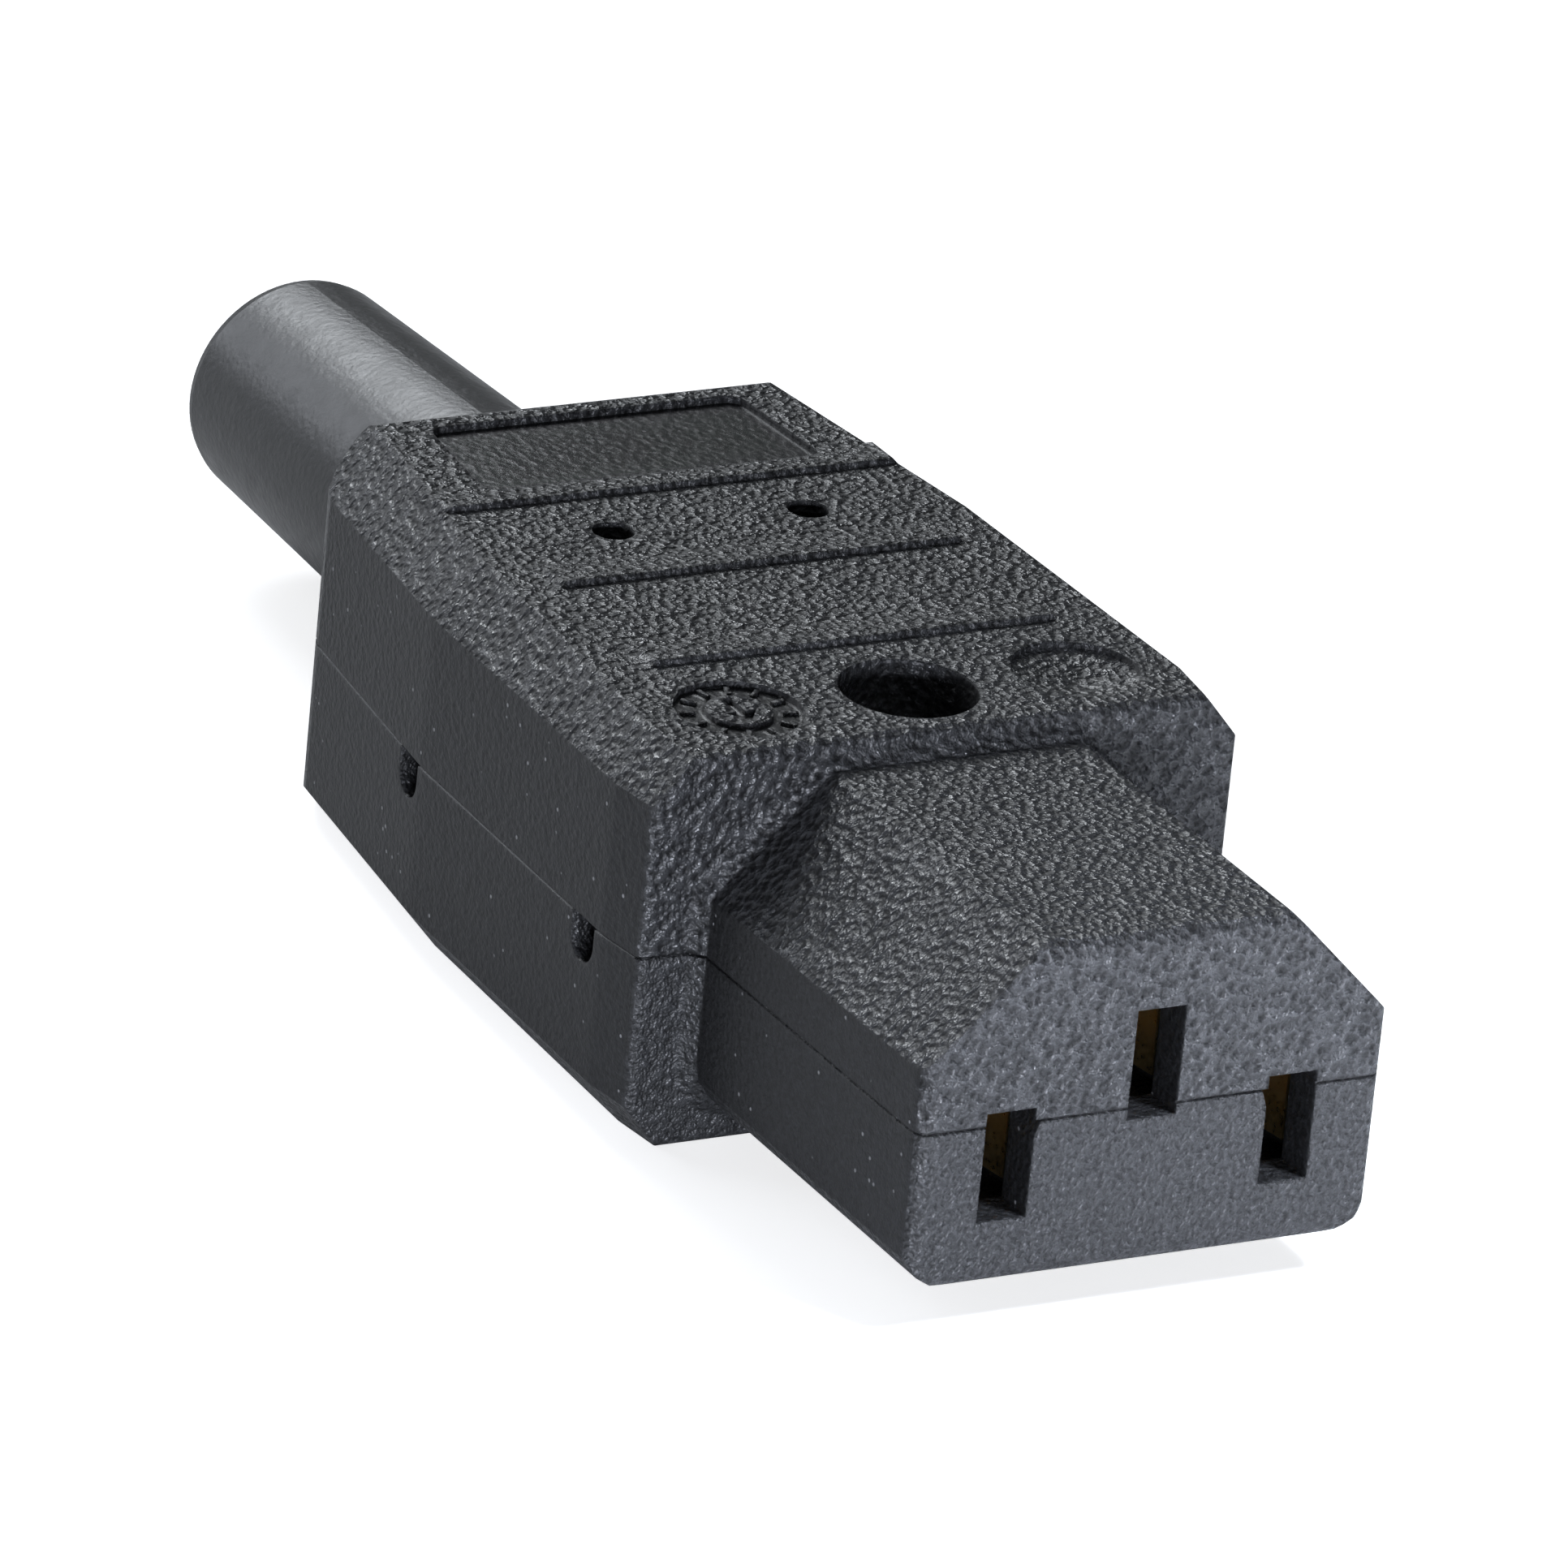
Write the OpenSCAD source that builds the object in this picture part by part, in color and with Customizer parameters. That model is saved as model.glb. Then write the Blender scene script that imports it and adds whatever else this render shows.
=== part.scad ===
// Rewireable C13 power connector: two moulded shells held by one screw, with
// three sprung contacts, their terminals, a cord clamp and a bend relief sleeve.
// The mating face is at x = 0 and faces +X; the shells part on the plane z = 0.

/* [Nose] */
// Length of the nose in front of the body
nose_l = 20.15; // [19:0.05:21.5]
// Width of the nose at the parting plane
nose_w = 23.1; // [22.6:0.1:24]
// Height of the nose above the parting plane
nose_up = 8.25; // [8:0.05:8.8]
// Depth of the nose below the parting plane
nose_down = 7.6; // [7.3:0.05:8.2]
// Size of the 45 degree bevel along each top edge of the nose
nose_bevel = 5.5; // [4.6:0.1:6]
// Radius of the two lower edges of the nose
nose_low_r = 2.6; // [1.5:0.1:3.5]
// Radius round the edge of the mating face
nose_edge_r = 0.7; // [0.3:0.1:1]
// Widening of the nose on each side from its front to its root
nose_draft = 0.15; // [0:0.05:0.3]
// Thickness of the wall behind the mating face
nose_wall = 2.2; // [1.8:0.1:2.6]
// Radius of the hollow edge where the nose meets the body
root_r = 0.6; // [0.2:0.1:0.8]

/* [Contact slots] */
// Distance between the line slot and the neutral slot
pin_pitch = 14; // [13.6:0.1:14.4]
// Offset of the slots from the parting plane: earth above, line and neutral below
pin_offset = 2; // [1.9:0.05:2.2]
// Width of a slot
slot_w = 2.45; // [2.2:0.05:2.7]
// Height of a slot
slot_h = 5.2; // [4.8:0.1:5.6]
// Width of the small relief beside each line and neutral slot
slot_relief = 0.3; // [0.1:0.05:0.5]

/* [Body] */
// Length of the body
body_l = 37.75; // [36.5:0.05:40]
// Width of the body at its front face
body_front_w = 29.4; // [28.8:0.1:30]
// Greatest width of the body, just behind the front face
body_w = 30.15; // [29.6:0.05:31]
// Width of the body where its sides start to taper
body_bend_w = 29.1; // [28.6:0.1:29.5]
// Distance of that taper's start behind the front face
body_bend = 22; // [20:0.5:24]
// Width of the body at its rear face
body_rear_w = 25.3; // [24.6:0.1:26.5]
// Height of the front of the body above the parting plane, and below it
body_front_h = 9.42; // [9.2:0.02:9.8]
// Height of the rear of the body above the parting plane, and below it
body_rear_h = 10.17; // [9.9:0.02:10.5]
// Height at which the bevelled long edges start
bevel_start = 7.2; // [6.8:0.1:7.6]
// Rise of the bevelled long edges for each millimetre inwards
bevel_rise = 1.2; // [1:0.05:1.4]
// Radius that softens the body's long edges
body_edge_r = 0.4; // [0.2:0.1:0.6]
// Radius of the body's upright rear corners
body_rear_r = 2; // [1:0.1:2.5]
// Thickness of the walls
wall = 2; // [1.8:0.1:2.2]

/* [Parting joint] */
// Height of the upper shell's tongue
tongue_h = 1.4; // [1:0.1:1.8]
// Thickness of the wall outside the tongue
lip_t = 1; // [0.8:0.1:1.1]
// Gap round the tongue
tongue_gap = 0.08; // [0.05:0.01:0.12]
// Size of the line that shows all round where the shells meet
seam = 0.12; // [0.06:0.02:0.2]
// Half the width of the notches in the lower shell's rim
notch_r = 1.1; // [0.8:0.1:1.3]
// Depth of the notches below the parting plane
notch_h = 2.1; // [1.9:0.1:2.4]
// Depth of the notches into the wall
notch_in = 1.3; // [0.9:0.1:1.5]
// Distance of the front notches behind the mating face
notch_front = 24.9; // [24:0.1:26]

/* [Top details] */
// Height of the three wedge ridges
ridge_h = 0.28; // [0.15:0.01:0.4]
// Length of a ridge's ramp
ridge_l = 2.5; // [1.5:0.1:3.5]
// Distance of the first ridge behind the mating face
ridge_first = 29.5; // [29:0.1:30.5]
// Spacing of the ridges
ridge_step = 8.9; // [8.5:0.1:9.2]
// Radius of the date dial and of the round recess
dial_r = 2.95; // [2.5:0.05:3.1]
// Depth of the date dial's ring
dial_h = 0.3; // [0.15:0.05:0.5]
// Distance of the date dial and of the round recess from the middle
dial_y = 8.5; // [8.3:0.1:8.8]
// Depth of the round recess in its middle
cone_h = 0.75; // [0.4:0.05:0.9]
// Length of the label pocket
pocket_l = 7.5; // [6:0.1:8]
// Width of the label pocket at its front edge
pocket_w = 17.4; // [15:0.1:18]
// Depth of the label pocket
pocket_h = 0.35; // [0.2:0.05:0.5]
// Distance of the label pocket's front edge behind the mating face
pocket_front = 48.9; // [48.4:0.1:49.2]

/* [Housing screw] */
// Distance of the housing screw behind the mating face
screw_x = 24.4; // [24.2:0.1:24.8]
// Radius of the well above the housing screw
well_r = 3.2; // [2.9:0.05:3.4]
// Height of the housing screw's seat above the parting plane
screw_seat = 4.1; // [3.8:0.1:4.5]
// Length of the housing screw below its head
screw_l = 12; // [11.6:0.2:12.4]
// Width across the flats of the housing nut
nut_w = 5.5; // [5.3:0.1:5.7]
// Thickness of the housing nut
nut_h = 2.4; // [2:0.1:2.6]

/* [Screws] */
// Radius of the M3 screws
m3_r = 1.5; // [1.4:0.05:1.6]
// Radius of a screw's head
head_r = 2.6; // [2.4:0.1:2.7]
// Height of a screw's head
head_h = 1.8; // [1.5:0.1:2]
// Gap round a screw in its thread or hole
thread_gap = 0.02; // [0.01:0.01:0.05]
// Length of the terminal screws below their heads
term_screw_l = 4; // [3.6:0.1:4.4]
// Radius of the cord clamp's screws
clamp_screw_r = 1.4; // [1.2:0.05:1.5]
// Radius of the cord clamp screws' heads
clamp_head_r = 2.4; // [2.2:0.1:2.4]
// Length of the cord clamp's screws below their heads
clamp_screw_l = 8; // [7:0.5:9]

/* [Contacts] */
// Thickness of the contacts' metal sheet
sheet_t = 0.5; // [0.4:0.05:0.6]
// Gap between a contact's two leaves where they grip a blade
grip_gap = 1.9; // [1.8:0.05:2]
// Thickness of the contacts' steel springs
spring_t = 0.35; // [0.25:0.05:0.4]
// Length of a contact's spring
spring_l = 2.6; // [2:0.1:3]
// Distance of the line and neutral terminals behind the mating face
live_x = 33; // [32.5:0.1:33.5]
// Distance of the line and neutral terminals from the middle
live_y = 9.2; // [9:0.1:9.4]
// Distance of the earth terminal behind the mating face
earth_x = 36.4; // [36:0.1:36.8]
// Width of the square plates that hold the wires
plate_w = 5.6; // [5:0.1:5.8]
// Thickness of those plates
plate_t = 0.8; // [0.6:0.1:1]

/* [Cord clamp] */
// Distance of the cord clamp behind the mating face
clamp_x = 49.4; // [49:0.1:49.8]
// Radius of the cord that the clamp takes
cord_r = 3.75; // [3.5:0.05:3.9]
// Distance of the clamp's screws from the middle
clamp_y = 8.2; // [8.1:0.1:8.4]
// Width of the clamp bar along the cord
bar_w = 5; // [4.5:0.1:5.2]
// Thickness of the clamp bar
bar_t = 1.8; // [1.5:0.1:2]
// Distance of the two pillars behind the mating face
pillar_x = 43.55; // [43.3:0.05:43.8]
// Distance of each pillar from the middle
pillar_y = 5; // [4.8:0.05:5.2]
// Radius of a pillar
pillar_r = 1.9; // [1.7:0.1:2]
// Radius of the hole down each pillar
pillar_hole_r = 0.98; // [0.7:0.02:1.1]

/* [Sleeve] */
// Length of the sleeve behind the body
sleeve_l = 27.9; // [26:0.1:30]
// Radius of the sleeve at the body
sleeve_r = 6.45; // [6.2:0.05:6.8]
// Radius of the sleeve at its end
sleeve_end_r = 5.6; // [5.4:0.05:5.9]
// Radius round the edge of the sleeve's end
sleeve_round = 1.2; // [0.6:0.1:1.4]
// Radius of the sleeve's bore for the cord
bore_r = 4; // [3.95:0.05:4.1]
// Radius of the sleeve's neck in the shells' rear wall
neck_r = 5.2; // [5.1:0.05:5.3]
// Radius of the sleeve's flange inside the shells
flange_r = 7; // [6.8:0.1:7.3]
// Thickness of the flange
flange_t = 2; // [1.8:0.1:2.2]
// Gap round the neck and the flange
sleeve_gap = 0.05; // [0.03:0.01:0.08]

/* [Hidden] */
$fn = 48;

// Places along the connector, all behind the mating face
body_front = -nose_l;
body_back = -nose_l - body_l;
sleeve_back = body_back - sleeve_l;
cavity_front = body_front - wall;
cavity_back = body_back + wall;
bend_x = body_front - body_bend;
widest_x = body_front - 3;
slope = atan((body_rear_h - body_front_h) / body_l);

// Contacts: the leaves are as high as twice the slots' offset, so they meet the parting plane
leaf_h = 2 * pin_offset;
leaf_y = grip_gap / 2 + sheet_t / 2;
leaf_rear_y = leaf_y + 0.45;
mouth_y = leaf_y + 0.5;
mouth_x = -nose_wall - 0.6;
grip_front = -6;
grip_back = -9;
web_x = -15.4;
chamber_w = 2 * (mouth_y + sheet_t / 2) + 0.7;
chamber_back = web_x - sheet_t / 2 - 0.5;
spring_x = (grip_front + grip_back) / 2;
chamber_h = slot_h + 0.8;
chamber_step = -11;
tail_y = live_y - pin_pitch / 2 + plate_w / 2 + sheet_t / 2 + 0.05;
tail_way = 0.75;
bend_r = 0.6;
tab_l = plate_w + 3.2;
tab_w = plate_w + 0.5;
term_seat = -leaf_h + sheet_t + plate_t;
earth_seat = plate_t;
ring_r = 4.9;

// Softening of the forms
least_r = 0.05;
rear_top_r = 0.6;

// Posts and ribs inside the shells
well_wall = 1.1;
post_r = 3.35;
rib_y = 5.2;
rib_t = 0.7;
rib_end = -pillar_x + pillar_r + 0.4;
clamp_post_r = 2.4;
collar_t = 1.5;
collar_x = cavity_back + flange_t + sleeve_gap;
rib_top = 8.4;
hole_floor = 0.6;
hole_gap = 0.15;
core_wall = 1.7;
pillar_floor = 2;
nut_r = nut_w / 2 / cos(30);
nut_gap = 0.06;
nut_top = screw_seat - screw_l + nut_h;
drive_w = 0.8;

// Small details of the top
ridge_foot = 0.3;
ridge_w = 20.6;
dial_lip = 0.06;
dial_tick = 0.22;

function unit(v) = v / norm(v);
function mix(a, b, t) = a + (b - a) * t;

// An arc about the origin
function arc(r, start, end, n = 24) = [for (i = [0:n]) let (a = mix(start, end, i / n)) r * [cos(a), sin(a)]];

// Corner b of a path a-b-c as an arc of radius r
function corner(a, b, c, r, n) =
  let (
    u = unit(a - b), v = unit(c - b), half = acos(u * v) / 2,
    o = b + unit(u + v) * r / sin(half),
    p = b + u * r / tan(half) - o, q = b + v * r / tan(half) - o,
    start = atan2(p[1], p[0]), turn = atan2(q[1], q[0]) - start,
    sweep = turn > 180 ? turn - 360 : turn < -180 ? turn + 360 : turn
  )
  [for (i = [0:n]) o + r * [cos(start + sweep * i / n), sin(start + sweep * i / n)]];

// A closed outline with each corner rounded by its own radius
function rounded(pts, radii, n = 4) =
  let (m = len(pts))
  [for (i = [0:m - 1]) each corner(pts[(i + m - 1) % m], pts[i], pts[(i + 1) % m], radii[i], n)];

// An open path with its inner corners rounded
function soft_path(pts, r, n = 4) =
  let (last = len(pts) - 1)
  concat([pts[0]], [for (i = [1:last - 1]) each corner(pts[i - 1], pts[i], pts[i + 1], r, n)], [pts[last]]);

// The outline of a strip of sheet metal of thickness t along a path
function side_step(p, i) =
  let (
    before = unit(p[max(i, 1)] - p[max(i, 1) - 1]),
    after = unit(p[min(i + 1, len(p) - 1)] - p[min(i + 1, len(p) - 1) - 1]),
    m = unit(before + after)
  )
  [-m[1], m[0]] / (m * after);
function ribbon(p, t) = concat(
  [for (i = [0:len(p) - 1]) p[i] + side_step(p, i) * t / 2],
  [for (i = [len(p) - 1:-1:0]) p[i] - side_step(p, i) * t / 2]
);

// Half the body's width, and its height, at a place along it
function straight(x, x0, y0, x1, y1) = mix(y0, y1, (x - x0) / (x1 - x0));
function half_width(x) =
  x > widest_x ? straight(x, body_front, body_front_w / 2, widest_x, body_w / 2)
  : x > bend_x ? straight(x, widest_x, body_w / 2, bend_x, body_bend_w / 2)
  : straight(x, bend_x, body_bend_w / 2, body_back, body_rear_w / 2);
function height(x) = straight(x, body_front, body_front_h, body_back, body_rear_h);

// A list of points on one side of the middle line, closed with their mirror images
function both(pts) = concat(pts, [for (i = [len(pts) - 1:-1:0]) [pts[i][0], -pts[i][1]]]);

// The body in plan, moved inwards by d
function body_plan(d) =
  let (
    pts = both([
      [body_front - d, body_front_w / 2 - d], [widest_x, body_w / 2 - d],
      [bend_x, body_bend_w / 2 - d], [body_back + d, body_rear_w / 2 - d]
    ]),
    front_r = max(body_edge_r - d, least_r), rear_r = max(body_rear_r - d, least_r),
    r = [front_r, 3, 12, rear_r, rear_r, 12, 3, front_r]
  )
  rounded(pts, r, 3);

// The body seen from the side, moved inwards by d
function body_side(d) =
  let (edge_r = max(body_edge_r - d, least_r), rear_r = max(rear_top_r - d, least_r))
  rounded(
    both([[body_front - d, height(body_front) - d], [body_back + d, height(body_back) - d]]),
    [edge_r, rear_r, rear_r, edge_r], 2);

// Children drawn in the XZ plane, extruded across the whole width
module across() {
  rotate([90, 0, 0]) linear_extrude(60, center = true) children();
}

// Children drawn in the YZ plane, extruded along X between two places
module along(front, back) {
  translate([back, 0, 0]) rotate([90, 0, 90]) linear_extrude(front - back) children();
}

// The body without its bevels, moved inwards by d
module body_block(d) {
  intersection() {
    translate([0, 0, -20]) linear_extrude(40) polygon(body_plan(d));
    across() polygon(body_side(d));
  }
}

// What the bevel takes off along one straight stretch of the body's side
module bevel_cut(x0, x1) {
  reach = 6;
  turn = atan2(half_width(x0) - half_width(x1), x0 - x1);
  translate([x1, half_width(x1), 0]) rotate(turn) along(60, -40)
    for (up = [1, -1]) polygon([
      [0, up * bevel_start], [reach, up * bevel_start],
      [reach, up * (bevel_start + reach * bevel_rise)], [-reach, up * (bevel_start + reach * bevel_rise)]
    ]);
}

module body_form() {
  difference() {
    body_block(0);
    both_sides() {
      bevel_cut(body_front, widest_x);
      bevel_cut(widest_x, bend_x);
      bevel_cut(bend_x, body_back);
    }
  }
}

// The nose's cross-section at its root, moved inwards by d
function nose_section(d) =
  let (w = nose_w / 2 + nose_draft - d, b = nose_bevel - d * (2 - sqrt(2)), up = nose_up - d)
  concat(
    [[w, up - b], [w - b, up], [b - w, up], [-w, up - b]],
    corner([-w, up - b], [-w, d - nose_down], [w, d - nose_down], nose_low_r, 4),
    corner([-w, d - nose_down], [w, d - nose_down], [w, up - b], nose_low_r, 4)
  );

// The nose in plan, moved inwards by d, with its draft and its rounded front edge
function nose_plan(d) =
  let (w = nose_w / 2 - d, front = corner([body_front, w + nose_draft], [-d, w], [-d, 0], nose_edge_r, 4))
  both(concat([[body_front - 1, w + nose_draft]], front));

// The nose seen from the side, with its rounded front edge
function nose_side() = concat(
  [[body_front - 1, nose_up]],
  corner([body_front, nose_up], [0, nose_up], [0, 0], nose_edge_r, 4),
  corner([0, 0], [0, -nose_down], [body_front, -nose_down], nose_edge_r, 4),
  [[body_front - 1, -nose_down]]
);

module nose_form() {
  intersection() {
    along(0, body_front - 1) polygon(nose_section(0));
    translate([0, 0, -20]) linear_extrude(40) polygon(nose_plan(0));
    across() polygon(nose_side());
  }
  // The hollow edge at its root
  hull() {
    along(body_front + root_r, body_front + root_r - 0.01) polygon(nose_section(0.03));
    along(body_front + 0.01, body_front - 0.5) polygon(nose_section(-root_r));
  }
}

// A box between two corners
module span(a, b) {
  translate([min(a[0], b[0]), min(a[1], b[1]), min(a[2], b[2])])
    cube([abs(a[0] - b[0]), abs(a[1] - b[1]), abs(a[2] - b[2])]);
}

module both_sides() {
  children();
  mirror([0, 1, 0]) children();
}

// Children drawn on the sloping top face, at x
module on_top(x) {
  translate([x, 0, height(x)]) rotate([0, slope, 0]) children();
}

// The half of the space above or below the parting plane
module half_space(up) {
  big = 60;
  translate([-100, -big / 2, up ? 0 : -big]) cube([110, big, big]);
}

// Both sides of the middle plane
module both_sides() {
  children();
  mirror([0, 1, 0]) children();
}

module outer_form() {
  nose_form();
  body_form();
}

// A round rod along X between two places
module rod_x(r, front, back) {
  translate([back, 0, 0]) rotate([0, 90, 0]) cylinder(r = r, h = front - back);
}

// A slot in the mating face and the chamber behind it; the rear stretch fits the contact's leaves
module contact_chamber(y, z) {
  span([1, y - slot_w / 2, z - slot_h / 2], [-nose_wall - 1, y + slot_w / 2, z + slot_h / 2]);
  side = chamber_w / 2;
  span([-nose_wall, y - side, z - chamber_h / 2], [chamber_step, y + side, z + chamber_h / 2]);
  span([chamber_step + 1, y - side, z - leaf_h / 2], [chamber_back, y + side, z + leaf_h / 2]);
}

module contact_chambers() {
  both_sides() contact_chamber(pin_pitch / 2, -pin_offset);
  contact_chamber(0, pin_offset);
}

// The ways through the shells' rear wall and collar for the sleeve's neck, and along it for the cord
module neck_way() {
  rod_x(neck_r + sleeve_gap, collar_x + collar_t + 0.5, body_back - 1);
}

// The room that the shells leave inside the body, without their ribs
module hollow() {
  difference() {
    body_block(wall);
    children();
  }
}

// The collar that holds the sleeve's flange against the rear wall
module collar() {
  span([collar_x, -20, -12], [collar_x + collar_t, 20, 12]);
}

// Ribs that keep the three wires apart
module barriers(z) {
  both_sides() span([cavity_front + 1, rib_y, 0], [rib_end, rib_y + rib_t, z]);
}

module wedge_ridge(x, half_w) {
  on_top(x) intersection() {
    rotate([90, 0, 0]) linear_extrude(2 * half_w + 2, center = true)
      polygon([[0, -ridge_foot], [0, ridge_h], [-ridge_l, 0], [-ridge_l, -ridge_foot]]);
    rotate([90, 0, 90]) linear_extrude(4 * ridge_l, center = true)
      polygon([
        [-half_w - ridge_foot, -ridge_foot], [half_w + ridge_foot, -ridge_foot],
        [half_w - ridge_h, ridge_h], [ridge_h - half_w, ridge_h]
      ]);
  }
}

module ridges() {
  for (i = [0:1]) wedge_ridge(-ridge_first - i * ridge_step, ridge_w / 2);
  last_x = -ridge_first - 2 * ridge_step;
  wedge_ridge(last_x, half_width(last_x) - (height(last_x) - bevel_start) / bevel_rise);
}

// A date dial: a ring of twelve ticks round a turned insert with an arrow
module date_dial() {
  insert_r = dial_r * 0.52;
  difference() {
    translate([0, 0, -dial_h]) cylinder(r = dial_r, h = dial_h + 1);
    translate([0, 0, -dial_h - 1]) cylinder(r = insert_r, h = 1 + dial_h - dial_lip);
    for (a = [15:30:345])
      rotate(a) translate([insert_r + 0.45, -dial_tick / 2, -dial_h - 1])
        cube([dial_r - insert_r - 0.7, dial_tick, 1 + dial_h / 2]);
  }
  translate([0, 0, -dial_h]) linear_extrude(1) polygon([
    [insert_r * 0.8, 0], [insert_r * 0.1, insert_r * 0.5], [insert_r * 0.1, dial_tick],
    [-insert_r * 0.8, dial_tick], [-insert_r * 0.8, -dial_tick], [insert_r * 0.1, -dial_tick],
    [insert_r * 0.1, -insert_r * 0.5]
  ]);
}

// A round recess whose floor is a shallow cone
module cone_recess() {
  translate([0, 0, -dial_h]) cylinder(r = dial_r, h = dial_h + 1);
  translate([0, 0, -cone_h]) cylinder(r1 = 0.2, r2 = dial_r, h = cone_h - dial_h + 0.001);
}

module label_pocket() {
  w = pocket_w / 2;
  back_w = w - 0.7;
  on_top(-pocket_front) translate([0, 0, -pocket_h]) linear_extrude(2) polygon(
    rounded([[0, -w], [0, w], [-pocket_l, back_w], [-pocket_l, -back_w]], [0.8, 0.8, 0.8, 0.8]));
}

// The stretch inside the side walls that the upper shell's tongue fills
module tongue(inset, down, up, front, back) {
  translate([0, 0, -down]) linear_extrude(down + up) intersection() {
    polygon(body_plan(inset));
    translate([back, -20]) square([front - back, 40]);
  }
}

module upper_ribs() {
  translate([-screw_x, 0, 0]) cylinder(r = post_r, h = rib_top);
  translate([-screw_x, 0, screw_seat - 1.4]) cylinder(r = well_r + well_wall, h = rib_top - screw_seat + 1.4);
  barriers(rib_top);
  both_sides() translate([-pillar_x, pillar_y, 0]) cylinder(r = pillar_r, h = rib_top);
  collar();
}

module upper_shell() color("#232427") difference() {
  union() {
    intersection() {
      union() {
        outer_form();
        ridges();
      }
      half_space(true);
    }
    tongue(lip_t + tongue_gap, tongue_h, 0, cavity_front - 0.3, cavity_back + 0.3);
  }
  hollow() upper_ribs();
  contact_chambers();
  neck_way();
  // Cores in the thick stretches above the line and neutral chambers
  both_sides() span([-nose_wall - core_wall, pin_pitch / 2 - 2.8, core_wall + 1],
    [cavity_front - 1, pin_pitch / 2 + 0.6, core_wall + 2.8]);
  // The housing screw's well and hole
  translate([-screw_x, 0, screw_seat]) cylinder(r = well_r, h = 20);
  translate([-screw_x, 0, -1]) cylinder(r = m3_r + hole_gap, h = 20);
  both_sides() translate([-pillar_x, pillar_y, pillar_floor]) cylinder(r = pillar_hole_r, h = 20);
  on_top(-screw_x) {
    translate([0, -dial_y, 0]) date_dial();
    translate([0, dial_y, 0]) cone_recess();
  }
  label_pocket();
}

// The gap that shows as a line all round where the shells meet
module seam_line() {
  translate([0, 0, -seam]) linear_extrude(1) difference() {
    translate([-80, -30]) square([90, 60]);
    polygon(nose_plan(seam));
    polygon(body_plan(seam));
  }
}

module lower_ribs() {
  translate([-screw_x, 0, -rib_top]) cylinder(r = post_r, h = rib_top);
  translate([-screw_x, 0, -rib_top]) cylinder(r = nut_r + well_wall, h = rib_top + nut_top + 0.9);
  mirror([0, 0, 1]) barriers(rib_top);
  both_sides() {
    translate([-pillar_x, pillar_y, -rib_top]) cylinder(r = pillar_r - 0.3, h = rib_top);
    translate([-clamp_x, clamp_y, -rib_top]) cylinder(r = clamp_post_r, h = rib_top);
    span([-live_x + tab_l / 2, live_y - tab_w / 2, -rib_top],
      [-live_x - tab_l / 2, live_y + tab_w / 2, -leaf_h]);
  }
  span([-earth_x + tab_l / 2, -tab_w / 2, -rib_top], [-earth_x - tab_l / 2, tab_w / 2, -sheet_t]);
  difference() {
    span([-clamp_x - bar_w / 2, -clamp_y, -rib_top], [-clamp_x + bar_w / 2, clamp_y, 0]);
    rod_x(cord_r, -clamp_x + bar_w, -clamp_x - bar_w);
  }
  collar();
}

// A notch with a round bottom in the rim of the lower shell's side
module rim_notch(x) {
  floor_y = half_width(x) - notch_in;
  translate([x, floor_y, -notch_h + notch_r]) rotate([-90, 0, 0]) cylinder(r = notch_r, h = 4);
  span([x - notch_r, floor_y, -notch_h + notch_r], [x + notch_r, floor_y + 4, 1]);
}

module lower_shell() color("#202124") difference() {
  intersection() {
    outer_form();
    half_space(false);
  }
  hollow() lower_ribs();
  contact_chambers();
  neck_way();
  seam_line();
  // The rebate that takes the upper shell's tongue
  tongue(lip_t, tongue_h + tongue_gap, 1, cavity_front, cavity_back);
  both_sides() {
    rim_notch(-notch_front);
    rim_notch(-pillar_x);
    // The way for a line or neutral contact's tail through the front wall
    span([chamber_back + 1, pin_pitch / 2 + leaf_rear_y - tail_way, -leaf_h],
      [cavity_front - 0.1, pin_pitch / 2 + leaf_rear_y + tail_way, 1]);
    // The small relief beside the slot, just under the parting plane
    translate([0, pin_pitch / 2, 0]) slot_nick();
    translate([-live_x, live_y, term_seat - term_screw_l - hole_floor]) cylinder(r = m3_r + 0.3, h = 20);
    translate([-clamp_x, clamp_y, bar_t - clamp_screw_l - hole_floor])
      cylinder(r = clamp_screw_r + thread_gap, h = 20);
  }
  // The way for the earth contact's strip and its ring
  span([web_x + sheet_t, -leaf_rear_y - sheet_t, -sheet_t], [cavity_front - 0.1, leaf_rear_y + sheet_t, 1]);
  translate([-screw_x, 0, -sheet_t]) difference() {
    cylinder(r = ring_r + 0.1, h = 2);
    translate([0, 0, -1]) cylinder(r = post_r, h = 4);
  }
  translate([-earth_x, 0, earth_seat - term_screw_l - hole_floor]) cylinder(r = m3_r + 0.3, h = 20);
  // A core in the thick stretch below the earth chamber
  span([-nose_wall - core_wall, -2.6, -nose_down + core_wall + 0.3],
    [cavity_front - 1, 2.6, -core_wall - 0.7]);
  // The housing screw's hole and the nut's pocket in the underside
  translate([-screw_x, 0, -20]) cylinder(r = m3_r + hole_gap, h = 22);
  translate([-screw_x, 0, nut_top - 20]) cylinder(r = nut_r + nut_gap, h = 20, $fn = 6);
}

module slot_nick() {
  translate([0.01, -slot_w / 2, 0]) rotate([0, -90, 0]) linear_extrude(nose_wall)
    polygon([[0.01, 0.01], [0.01, -slot_relief], [-0.9, 0.01]]);
}

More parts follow.
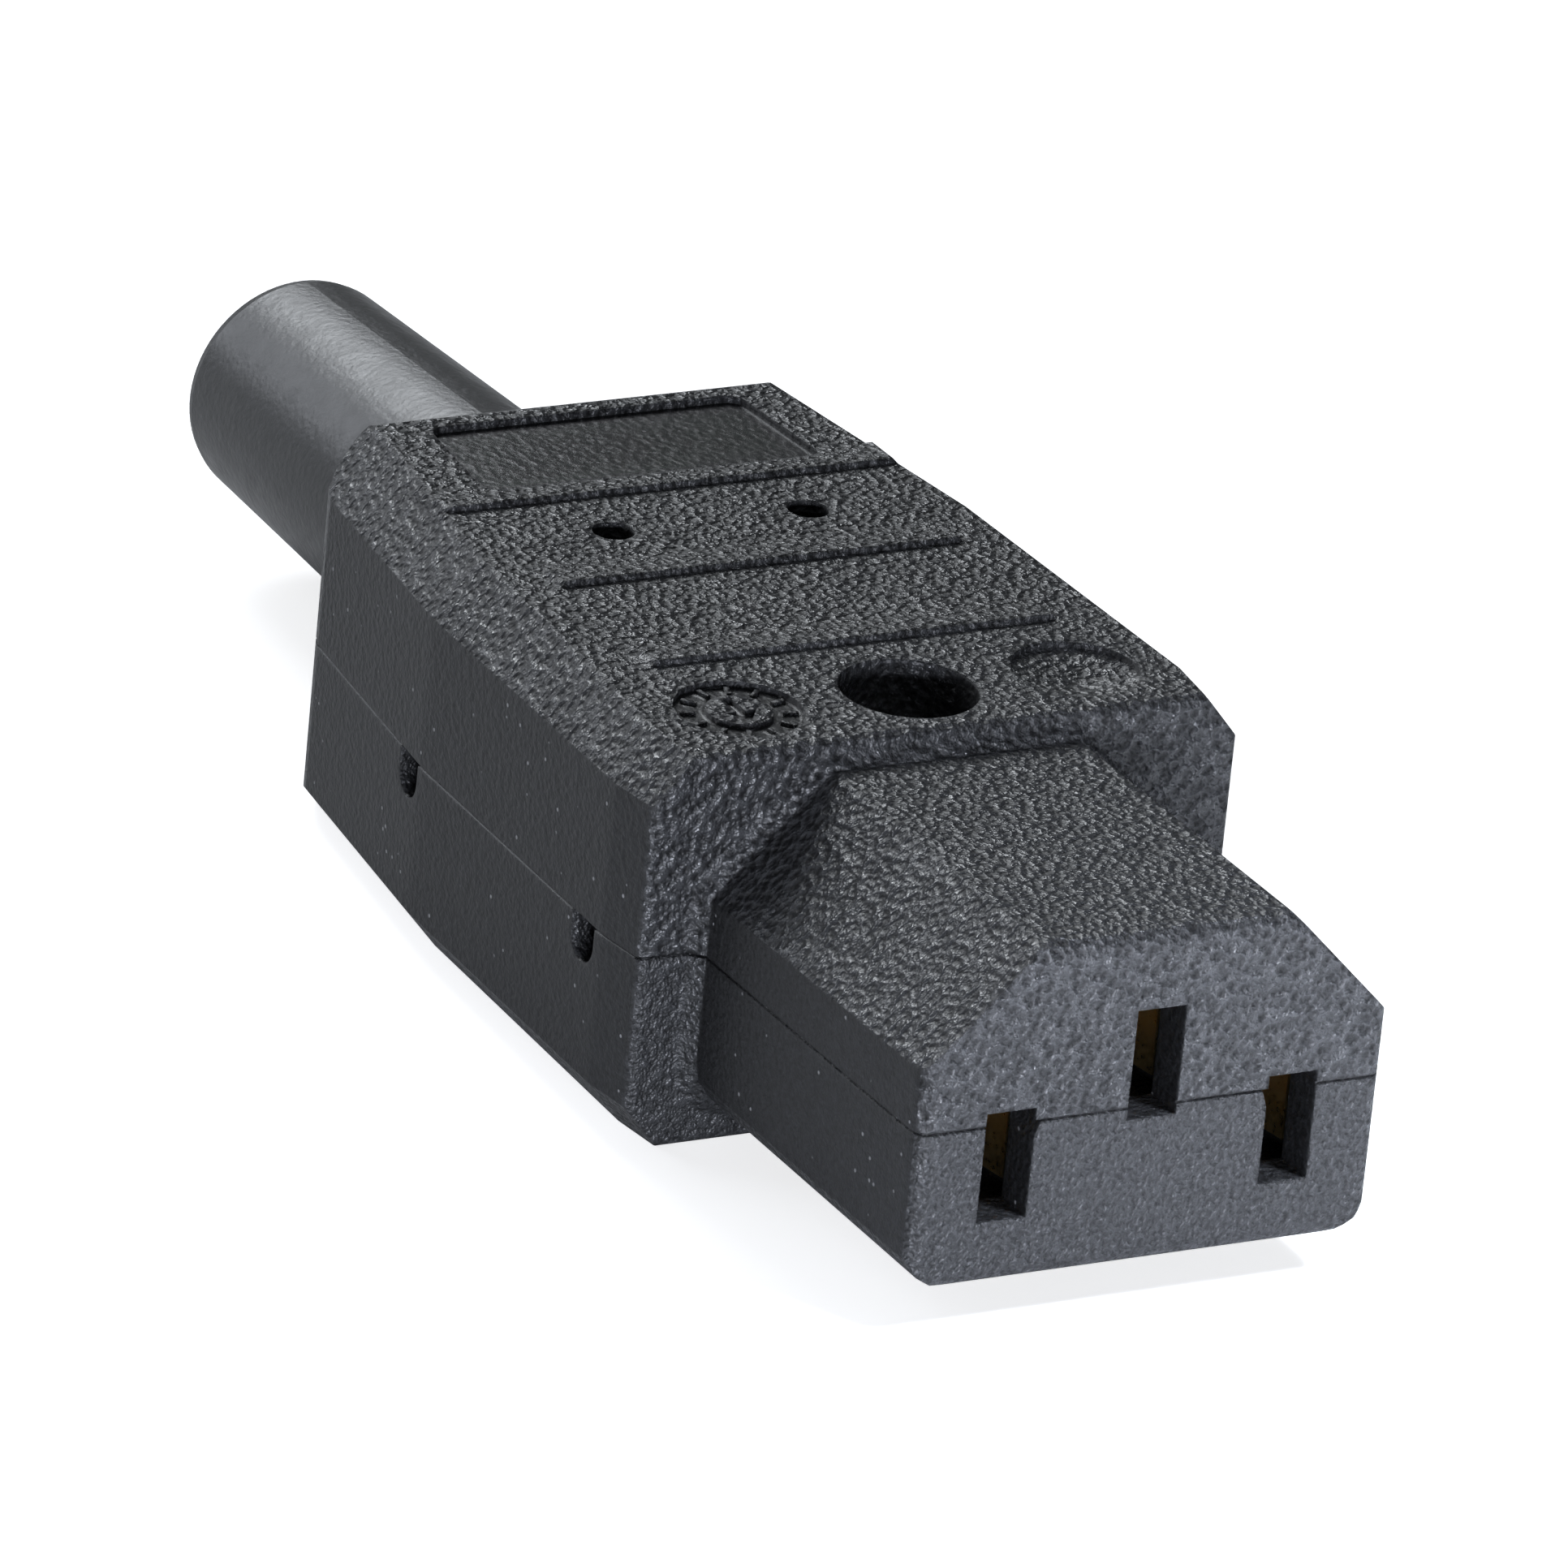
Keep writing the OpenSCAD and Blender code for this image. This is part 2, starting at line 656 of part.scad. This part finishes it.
// The sleeve, turned round the X axis: flange, neck and a long tapering tail with a bore
module bend_relief_sleeve() color("#2c2d2f") {
  tail = flange_t + wall;
  back = tail + sleeve_l;
  translate([cavity_back + flange_t, 0, 0]) rotate([0, -90, 0]) rotate_extrude() polygon(rounded(
    [
      [bore_r, 0], [flange_r, 0], [flange_r, flange_t], [neck_r, flange_t],
      [neck_r, tail], [sleeve_r, tail], [sleeve_end_r, back], [bore_r, back]
    ],
    [0.3, 0.2, 0.2, 0.01, 0.01, 0.2, sleeve_round, 0.3]
  ));
}

// A pan head screw that points down from the seat of its head at z = 0
module screw(r, l, head) {
  tip = r * 0.3;
  difference() {
    rotate_extrude() polygon([
      [0, -l], [r - tip, -l], [r, -l + tip], [r, 0], [head, 0], [head, head_h * 0.45],
      for (a = [15:15:75]) [head - head_h * 0.55 * (1 - cos(a)), head_h * (0.45 + 0.55 * sin(a))],
      [head - head_h * 0.55, head_h], [0, head_h]
    ]);
    // The cross recess
    for (a = [0, 90])
      rotate(a) translate([-head * 0.6, -drive_w / 2, head_h * 0.45]) cube([head * 1.2, drive_w, head_h]);
  }
}

module housing_screw() color("#8c8f93") translate([-screw_x, 0, screw_seat])
  rotate(45) screw(m3_r, screw_l, head_r);

module housing_nut() color("#a2a5a8") translate([-screw_x, 0, nut_top - nut_h]) difference() {
  cylinder(r = nut_r, h = nut_h, $fn = 6);
  translate([0, 0, -1]) cylinder(r = m3_r + thread_gap, h = nut_h + 2);
}

// A contact's two leaves as strips in plan, on the middle of its slot
function leaf_path(side) = [
  [mouth_x, side * mouth_y], [grip_front, side * leaf_y], [grip_back, side * leaf_y],
  [grip_back - 3.5, side * leaf_rear_y]
];

// The line contact: its outer leaf runs on as a tail round to the terminal's folded tab
module live_contact() {
  lead_x = cavity_front - 0.2;
  swing = tail_y - leaf_rear_y;
  inner = concat(leaf_path(-1), [[web_x, -leaf_rear_y], [web_x, leaf_rear_y]]);
  outer = concat(leaf_path(1),
    [[lead_x, leaf_rear_y], [lead_x - swing, tail_y], [-live_x - tab_l / 2, tail_y]]);
  difference() {
    union() {
      translate([0, pin_pitch / 2, -leaf_h]) linear_extrude(leaf_h) {
        polygon(ribbon(soft_path(inner, bend_r), sheet_t));
        polygon(ribbon(soft_path(outer, bend_r), sheet_t));
      }
      span([-live_x + tab_l / 2, live_y - plate_w / 2 - 0.1, -leaf_h],
        [-live_x - tab_l / 2, tail_y + pin_pitch / 2, -leaf_h + sheet_t]);
    }
    translate([-live_x, live_y, -20]) cylinder(r = m3_r + thread_gap, h = 20);
  }
}

// The earth contact: both leaves stand on a strip that rings the housing screw's post
module earth_contact() color("#b9a25a") {
  grip = concat(leaf_path(-1), [[web_x, -leaf_rear_y], [web_x, leaf_rear_y]],
    [for (i = [3:-1:0]) leaf_path(1)[i]]);
  strip_w = 2 * leaf_rear_y + sheet_t;
  linear_extrude(leaf_h) polygon(ribbon(soft_path(grip, bend_r), sheet_t));
  translate([0, 0, -sheet_t]) linear_extrude(sheet_t) difference() {
    union() {
      translate([-earth_x - tab_l / 2, -strip_w / 2])
        square([web_x + sheet_t / 2 + earth_x + tab_l / 2, strip_w]);
      translate([-earth_x - tab_l / 2, -tab_w / 2]) square([tab_l, tab_w]);
      translate([-screw_x, 0]) circle(r = ring_r);
    }
    translate([-screw_x, 0]) circle(r = post_r + 0.15);
    translate([-earth_x, 0]) circle(r = m3_r + thread_gap);
  }
}

module line_contact() color("#b9a25a") live_contact();
module neutral_contact() color("#b9a25a") mirror([0, 1, 0]) live_contact();

// A steel spring that saddles a contact's leaves and presses them together
module contact_spring(y, z) color("#9a9da1") {
  inside = leaf_y + sheet_t / 2;
  drop = leaf_h * 0.75;
  translate([spring_x - spring_l / 2, y, z + leaf_h / 2]) difference() {
    translate([0, -inside - spring_t, -drop]) cube([spring_l, 2 * (inside + spring_t), drop + spring_t]);
    translate([-1, -inside, -drop - 1]) cube([spring_l + 2, 2 * inside, drop + 1]);
  }
}

module line_contact_spring() contact_spring(pin_pitch / 2, -pin_offset);
module neutral_contact_spring() contact_spring(-pin_pitch / 2, -pin_offset);
module earth_contact_spring() contact_spring(0, pin_offset);

// A square plate that presses a wire onto a terminal's tab
module wire_plate(x, y, z) color("#b4b7ba") translate([x, y, z]) difference() {
  square_plan = plate_w / 2 * [[1, -1], [1, 1], [-1, 1], [-1, -1]];
  linear_extrude(plate_t) polygon(rounded(square_plan, [0.5, 0.5, 0.5, 0.5]));
  translate([0, 0, -1]) cylinder(r = m3_r + 0.1, h = plate_t + 2);
}

module line_wire_plate() wire_plate(-live_x, live_y, term_seat - plate_t);
module neutral_wire_plate() wire_plate(-live_x, -live_y, term_seat - plate_t);
module earth_wire_plate() wire_plate(-earth_x, 0, earth_seat - plate_t);

module terminal_screw(x, y, z) color("#c7c9cb") translate([x, y, z]) screw(m3_r, term_screw_l, head_r);
module line_terminal_screw() terminal_screw(-live_x, live_y, term_seat);
module neutral_terminal_screw() terminal_screw(-live_x, -live_y, term_seat);
module earth_terminal_screw() terminal_screw(-earth_x, 0, earth_seat);

// The bar that arches over the cord, between its two screws
module cord_clamp_bar() color("#2a2b2e") {
  foot = clamp_y + clamp_post_r;
  arch_r = cord_r + bar_t;
  rise = asin(bar_t / arch_r);
  difference() {
    translate([-clamp_x, 0, 0]) rotate([90, 0, 90]) linear_extrude(bar_w, center = true) polygon(concat(
      [[foot, 0], [foot, bar_t]],
      arc(arch_r, rise, 180 - rise),
      [[-foot, bar_t], [-foot, 0]],
      arc(cord_r, 180, 0)
    ));
    both_sides() translate([-clamp_x, clamp_y, -1]) cylinder(r = clamp_screw_r + 0.1, h = bar_t + 2);
  }
}

module clamp_screw(y) color("#c7c9cb") translate([-clamp_x, y, bar_t])
  screw(clamp_screw_r, clamp_screw_l, clamp_head_r);
module left_clamp_screw() clamp_screw(clamp_y);
module right_clamp_screw() clamp_screw(-clamp_y);

upper_shell();
lower_shell();
bend_relief_sleeve();
housing_screw();
housing_nut();
line_contact();
neutral_contact();
earth_contact();
line_contact_spring();
neutral_contact_spring();
earth_contact_spring();
line_wire_plate();
neutral_wire_plate();
earth_wire_plate();
line_terminal_screw();
neutral_terminal_screw();
earth_terminal_screw();
cord_clamp_bar();
left_clamp_screw();
right_clamp_screw();
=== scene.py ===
"""Looks of the C13 power connector: procedural plastics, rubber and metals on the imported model."""
import math
import bpy
from mathutils import Matrix, Vector


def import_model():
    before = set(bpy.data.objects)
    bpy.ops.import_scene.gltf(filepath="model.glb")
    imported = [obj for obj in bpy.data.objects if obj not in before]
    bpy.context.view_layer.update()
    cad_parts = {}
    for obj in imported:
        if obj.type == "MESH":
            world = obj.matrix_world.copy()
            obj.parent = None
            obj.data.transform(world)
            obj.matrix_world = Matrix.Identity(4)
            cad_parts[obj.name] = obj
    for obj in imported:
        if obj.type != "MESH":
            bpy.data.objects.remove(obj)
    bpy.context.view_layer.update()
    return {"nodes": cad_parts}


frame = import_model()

NODES = frame["nodes"]
MM = 0.001

# The body's front end and its length, and half its depth at its front and at its rear, in millimetres
BODY_FRONT = -20.15
BODY_LENGTH = 37.75
FRONT_HALF_DEPTH = 9.42
REAR_HALF_DEPTH = 10.17
# How fast the body's top and underside spread towards the rear
BODY_SLOPE = (REAR_HALF_DEPTH - FRONT_HALF_DEPTH) / BODY_LENGTH

# ---------------------------------------------------------------- materials


class Mat:
    """A small builder for node materials."""

    def __init__(self, name):
        self.mat = bpy.data.materials.new(name)
        self.mat.use_nodes = True
        self.tree = self.mat.node_tree
        self.tree.nodes.clear()
        self.out = self.node("ShaderNodeOutputMaterial")

    def node(self, kind, **settings):
        n = self.tree.nodes.new(kind)
        for key, value in settings.items():
            setattr(n, key, value)
        return n

    def link(self, a, b):
        self.tree.links.new(a, b)

    def put(self, value, socket):
        """Link the value if it is a socket, or else set it."""
        if hasattr(value, "is_output"):
            self.link(value, socket)
        else:
            socket.default_value = value

    def math(self, op, a, b=0.0, c=0.0):
        n = self.node("ShaderNodeMath", operation=op)
        for value, socket in zip((a, b, c), n.inputs):
            self.put(value, socket)
        return n.outputs[0]

    def remap(self, value, low, high, to_low=0.0, to_high=1.0, smooth=False):
        """Map low to high onto to_low to to_high, held at both ends."""
        n = self.node("ShaderNodeMapRange", interpolation_type="SMOOTHSTEP" if smooth else "LINEAR")
        self.put(value, n.inputs["Value"])
        for name, v in (("From Min", low), ("From Max", high), ("To Min", to_low), ("To Max", to_high)):
            n.inputs[name].default_value = v
        return n.outputs[0]

    def step(self, value, low, high):
        """A smooth step, 0 at low and 1 at high."""
        return self.remap(value, low, high, smooth=True)

    def mix(self, factor, a, b):
        n = self.node("ShaderNodeMix", data_type="FLOAT")
        self.put(factor, n.inputs[0])
        self.put(a, n.inputs[2])
        self.put(b, n.inputs[3])
        return n.outputs[0]

    def mix_color(self, factor, a, b):
        n = self.node("ShaderNodeMix", data_type="RGBA")
        self.put(factor, n.inputs[0])
        self.put(a, n.inputs[6])
        self.put(b, n.inputs[7])
        return n.outputs[2]

    def split(self, vector):
        n = self.node("ShaderNodeSeparateXYZ")
        self.link(vector, n.inputs[0])
        return n.outputs

    def place(self):
        """The point on the object, in millimetres."""
        scale = self.node("ShaderNodeVectorMath", operation="SCALE")
        self.link(self.node("ShaderNodeTexCoord").outputs["Object"], scale.inputs[0])
        scale.inputs["Scale"].default_value = 1 / MM
        return scale.outputs[0]

    def normal(self):
        """The x, y and z of the direction that the surface faces."""
        return self.split(self.node("ShaderNodeNewGeometry").outputs["True Normal"])

    def noise(self, at, size, detail=2.0, rough=0.5, distortion=0.0):
        n = self.node("ShaderNodeTexNoise")
        self.link(at, n.inputs["Vector"])
        n.inputs["Scale"].default_value = 1.0 / size
        n.inputs["Detail"].default_value = detail
        n.inputs["Roughness"].default_value = rough
        n.inputs["Distortion"].default_value = distortion
        return n.outputs["Fac"]

    def cells(self, at, size, smooth=None):
        """The distance to the nearest of scattered points, in cells, rounded over where smooth is given."""
        n = self.node("ShaderNodeTexVoronoi", feature="F1" if smooth is None else "SMOOTH_F1")
        self.link(at, n.inputs["Vector"])
        n.inputs["Scale"].default_value = 1.0 / size
        if smooth is not None:
            n.inputs["Smoothness"].default_value = smooth
        return n.outputs["Distance"]

    def bump(self, height, depth, normal=None):
        """The normal of a relief, where a height of 1 is the depth in millimetres."""
        n = self.node("ShaderNodeBump")
        n.inputs["Strength"].default_value = 1.0
        n.inputs["Distance"].default_value = depth * MM
        self.link(height, n.inputs["Height"])
        if normal is not None:
            self.link(normal, n.inputs["Normal"])
        return n.outputs[0]

    def surface(self, color, rough, normal, metal=0.0):
        n = self.node("ShaderNodeBsdfPrincipled")
        self.put(color, n.inputs["Base Color"])
        self.put(rough, n.inputs["Roughness"])
        n.inputs["Metallic"].default_value = metal
        n.inputs["Specular IOR Level"].default_value = 0.5
        self.link(normal, n.inputs["Normal"])
        self.link(n.outputs[0], self.out.inputs["Surface"])
        return self.mat


def rgb(r, g, b):
    return (r, g, b, 1.0)


# Depth of the moulded grain and radius of the softened edges, in millimetres
GRAIN_DEPTH = 0.36
EDGE_RADIUS = 0.35


def moulded_plastic(name):
    """Black moulded plastic with a spark-eroded grain, smooth on the floors of its recesses."""
    m = Mat(name)
    at = m.place()
    x, _, z = m.split(at)
    _, ny, nz = m.normal()
    # A floor faces up, lies below the body's sloping top, and is behind the nose
    faces_up = m.step(nz, 0.985, 0.995)
    top = m.math("MULTIPLY_ADD", m.math("SUBTRACT", x, BODY_FRONT), -BODY_SLOPE, FRONT_HALF_DEPTH)
    below_top = m.step(m.math("SUBTRACT", top, z), 0.12, 0.2)
    on_nose = m.step(x, BODY_FRONT - 0.45, BODY_FRONT - 0.25)
    on_body = m.math("SUBTRACT", 1.0, on_nose)
    sunk = m.math("MULTIPLY", m.math("MULTIPLY", below_top, faces_up), on_body)
    side = m.step(m.math("ABSOLUTE", ny), 0.9, 0.97)
    lower = m.step(z, 0.05, -0.05)
    # The grain is coarse and leathery above the parting plane, finer below it and on the sides
    coarse = m.noise(at, 0.40, 2.0, 0.6)
    pits = m.cells(at, 0.42, smooth=0.4)
    fine = m.noise(at, 0.26, 1.5, 0.6)
    leather = m.math("ADD", m.math("MULTIPLY", coarse, 0.7), m.math("MULTIPLY", pits, 0.6))
    fine_part = m.math("MAXIMUM", m.math("MULTIPLY", side, 0.75), m.math("MULTIPLY", lower, 0.8))
    grained = m.math("SUBTRACT", 1.0, m.math("MULTIPLY", sunk, 0.93))
    fine_height = m.math("MULTIPLY", fine, m.mix(side, 0.7, 0.25))
    grain = m.math("MULTIPLY", m.mix(fine_part, leather, fine_height), grained)
    # The grain's crests are painted lighter than its pits: a painted sparkle on the crests and painted
    # shade in the pits
    crests_painted_sparkle = m.mix(fine_part, m.remap(leather, 0.42, 0.80), m.remap(fine, 0.36, 0.68))
    crests_painted_sparkle = m.math("MULTIPLY", crests_painted_sparkle, grained)
    bevel = m.node("ShaderNodeBevel", samples=4)
    bevel.inputs["Radius"].default_value = EDGE_RADIUS * MM
    normal = m.bump(grain, GRAIN_DEPTH, bevel.outputs[0])
    # Dust lies as specks in some places, and shows more on the sides
    speck = m.step(m.cells(at, 0.9), 0.12, 0.08)
    rare = m.step(m.noise(at, 1.7, 0.0), 0.50, 0.56)
    dust = m.math("MULTIPLY", m.math("MULTIPLY", speck, rare), m.math("MULTIPLY_ADD", side, 0.6, 0.2))
    cloud = m.noise(at, 6.0, 3.0, 0.6)
    # The pits and the smooth recess floors, which have no crests, take a very dark colour of painted shade
    # over a random tone; the crests take a painted highlight colour
    pit_tone_painted_shade = m.mix_color(cloud, rgb(0.0030, 0.0031, 0.0034), rgb(0.0045, 0.0047, 0.0050))
    # The crests' painted highlight is much dimmer on the sides: painted shade for the sides, which the
    # light reaches less
    crest_painted_light_and_side_shade = m.mix_color(side, rgb(0.042, 0.043, 0.045), rgb(0.013, 0.0135, 0.015))
    base = m.mix_color(crests_painted_sparkle, pit_tone_painted_shade, crest_painted_light_and_side_shade)
    color = m.mix_color(dust, base, rgb(0.30, 0.30, 0.31))
    # The crests and the smooth floors shine, and the sides are evenly dull
    rough = m.mix(side, m.mix(crests_painted_sparkle, 0.60, 0.26), 0.56)
    return m.surface(color, m.mix(sunk, rough, 0.27), normal)


def soft_rubber(name):
    """The sleeve's soft black plastic: smooth, with a faint orange peel and handling marks."""
    m = Mat(name)
    at = m.place()
    peel = m.noise(at, 0.35, 2.0, 0.5)
    cloud = m.noise(at, 4.0, 4.0, 0.6)
    marks = m.noise(at, 1.2, 5.0, 0.7, 0.4)
    color = m.mix_color(cloud, rgb(0.0170, 0.0175, 0.0180), rgb(0.0260, 0.0265, 0.0270))
    return m.surface(color, m.remap(marks, 0.3, 0.7, 0.34, 0.44), m.bump(peel, 0.03))


def metal(name, color, rough):
    """Bare metal with a fine grain and patches of tarnish."""
    m = Mat(name)
    at = m.place()
    grain = m.noise(at, 0.25, 3.0, 0.6)
    tarnish = m.noise(at, 2.0, 4.0, 0.6)
    dark = [c * 0.72 for c in color]
    return m.surface(m.mix_color(tarnish, rgb(*dark), rgb(*color)),
                     m.remap(grain, 0.3, 0.7, rough, rough + 0.15), m.bump(grain, 0.009), metal=1.0)


def dress():
    """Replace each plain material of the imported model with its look."""
    looks = {
        "shell_plastic": moulded_plastic("shell_plastic_grain"),
        "sleeve_rubber": soft_rubber("sleeve_rubber_soft"),
        "contact_brass": metal("contact_brass_strip", (0.72, 0.55, 0.26), 0.25),
        "spring_steel": metal("spring_steel_strip", (0.50, 0.50, 0.51), 0.25),
        "plated_steel": metal("plated_steel_bright", (0.68, 0.68, 0.67), 0.22),
        "clamp_plastic": moulded_plastic("clamp_plastic_grain"),
    }
    for obj in NODES.values():
        for slot in obj.material_slots:
            slot.material = looks[slot.material.name]


dress()

# ---------------------------------------------------------------- floor, light and camera

# How much the floor glows towards the camera, and in the connector's reflections
FLOOR_SEEN = 0.72
FLOOR_MIRRORED = 0.03
# Strength of the soft light from all round
ROOM_LIGHT = 0.06
# Half the floor's width in metres, and its gap below the body in millimetres
FLOOR_REACH = 3.0
FLOOR_GAP = 0.02


def floor():
    """A pale floor under the body, which rests on its sloping underside."""
    m = Mat("pale_floor")
    diffuse = m.node("ShaderNodeBsdfDiffuse")
    diffuse.inputs["Color"].default_value = rgb(0.80, 0.80, 0.80)
    glow = m.node("ShaderNodeEmission")
    path = m.node("ShaderNodeLightPath").outputs
    mirrored = m.math("MAXIMUM", path["Is Glossy Ray"], path["Is Transmission Ray"])
    seen = m.math("MULTIPLY", path["Is Camera Ray"], FLOOR_SEEN)
    m.link(m.math("MULTIPLY_ADD", mirrored, FLOOR_MIRRORED, seen), glow.inputs["Strength"])
    add = m.node("ShaderNodeAddShader")
    m.link(diffuse.outputs[0], add.inputs[0])
    m.link(glow.outputs[0], add.inputs[1])
    m.link(add.outputs[0], m.out.inputs["Surface"])
    mesh = bpy.data.meshes.new("floor")
    turn = Matrix.Rotation(math.atan(BODY_SLOPE), 4, "Y")
    middle = Vector((BODY_FRONT * MM, 0, -(FRONT_HALF_DEPTH + FLOOR_GAP) * MM))
    corners = [middle + turn @ Vector((a * FLOOR_REACH, b * FLOOR_REACH, 0))
               for a, b in ((-1, -1), (1, -1), (1, 1), (-1, 1))]
    mesh.from_pydata(corners, [], [(0, 1, 2, 3)])
    mesh.materials.append(m.mat)
    obj = bpy.data.objects.new("floor", mesh)
    bpy.context.scene.collection.objects.link(obj)


def world():
    """A white backdrop for the camera, and a faint cool light for all else."""
    w = bpy.data.worlds.new("studio")
    bpy.context.scene.world = w
    w.use_nodes = True
    tree = w.node_tree
    tree.nodes.clear()
    out = tree.nodes.new("ShaderNodeOutputWorld")
    path = tree.nodes.new("ShaderNodeLightPath")
    mix = tree.nodes.new("ShaderNodeMixShader")
    tree.links.new(path.outputs["Is Camera Ray"], mix.inputs[0])
    for socket, color, strength in ((1, rgb(0.90, 0.94, 1.0), ROOM_LIGHT), (2, rgb(1, 1, 1), 1.0)):
        light = tree.nodes.new("ShaderNodeBackground")
        light.inputs["Color"].default_value = color
        light.inputs["Strength"].default_value = strength
        tree.links.new(light.outputs[0], mix.inputs[socket])
    tree.links.new(mix.outputs[0], out.inputs["Surface"])


def softbox(name, aim, toward, distance, size, spread, power, color):
    """A soft area lamp that faces its aim from the direction toward."""
    data = bpy.data.lights.new(name, "AREA")
    data.shape = "RECTANGLE"
    data.size, data.size_y = size
    data.spread = math.radians(spread)
    data.energy = power
    data.color = color
    lamp = bpy.data.objects.new(name, data)
    bpy.context.scene.collection.objects.link(lamp)
    aim = Vector(aim)
    lamp.location = aim + Vector(toward).normalized() * distance
    lamp.rotation_euler = (aim - lamp.location).to_track_quat("-Z", "Y").to_euler()


# The camera's azimuth, elevation and roll in degrees, what it circles and how far off, in metres
CAMERA_TURN = (59.625, 23.267, 5.861)
CAMERA_AIM = (-0.025, 0, 0)
CAMERA_DISTANCE = 0.663447
# Its focal length and sensor width in millimetres, and its shift in widths of the frame
CAMERA_LENS = 341.41
CAMERA_SENSOR = 36.0
CAMERA_SHIFT = (-0.0626, 0.0606)


def camera():
    data = bpy.data.cameras.new("camera")
    cam = bpy.data.objects.new("camera", data)
    bpy.context.scene.collection.objects.link(cam)
    azimuth, elevation, roll = (math.radians(a) for a in CAMERA_TURN)
    back = Vector((math.sin(azimuth) * math.cos(elevation), -math.cos(azimuth) * math.cos(elevation),
                   math.sin(elevation)))
    side = (-back).cross(Vector((0, 0, 1))).normalized()
    over = side.cross(-back)
    right = side * math.cos(roll) + over * math.sin(roll)
    up = over * math.cos(roll) - side * math.sin(roll)
    spot = Vector(CAMERA_AIM) + back * CAMERA_DISTANCE
    cam.matrix_world = Matrix((
        (right.x, up.x, back.x, spot.x), (right.y, up.y, back.y, spot.y), (right.z, up.z, back.z, spot.z),
        (0, 0, 0, 1)))
    data.sensor_width = CAMERA_SENSOR
    data.lens = CAMERA_LENS
    data.shift_x, data.shift_y = CAMERA_SHIFT
    data.clip_start = 0.01
    data.clip_end = 50.0
    bpy.context.scene.camera = cam


# The middle of the connector, and the patch of floor that its front faces mirror
MIDDLE = (-0.035, 0, 0)
FRONT_PATCH = (0.055, 0.030, -0.010)
# Each softbox's name, aim, direction, distance and size in metres, spread in degrees, power and colour
SOFTBOXES = (
    ("rear_left_softbox", MIDDLE, (-0.79, -0.50, 0.45), 0.55, (0.40, 0.30), 180, 1.2, (0.89, 0.93, 1.0)),
    ("rear_top_softbox", MIDDLE, (-0.76, 0.10, 0.64), 0.60, (0.30, 0.24), 180, 2.3, (0.92, 0.96, 1.0)),
    ("front_left_softbox", MIDDLE, (0.90, -0.28, 0.06), 0.50, (0.30, 0.08), 180, 2.85, (0.84, 0.88, 1.0)),
    ("patch_softbox", FRONT_PATCH, (0.35, 0.25, 0.9), 0.30, (0.06, 0.06), 25, 0.115, (0.80, 0.86, 1.0)),
)

floor()
world()
for box in SOFTBOXES:
    softbox(*box)
camera()
bpy.context.scene.view_settings.view_transform = "Standard"
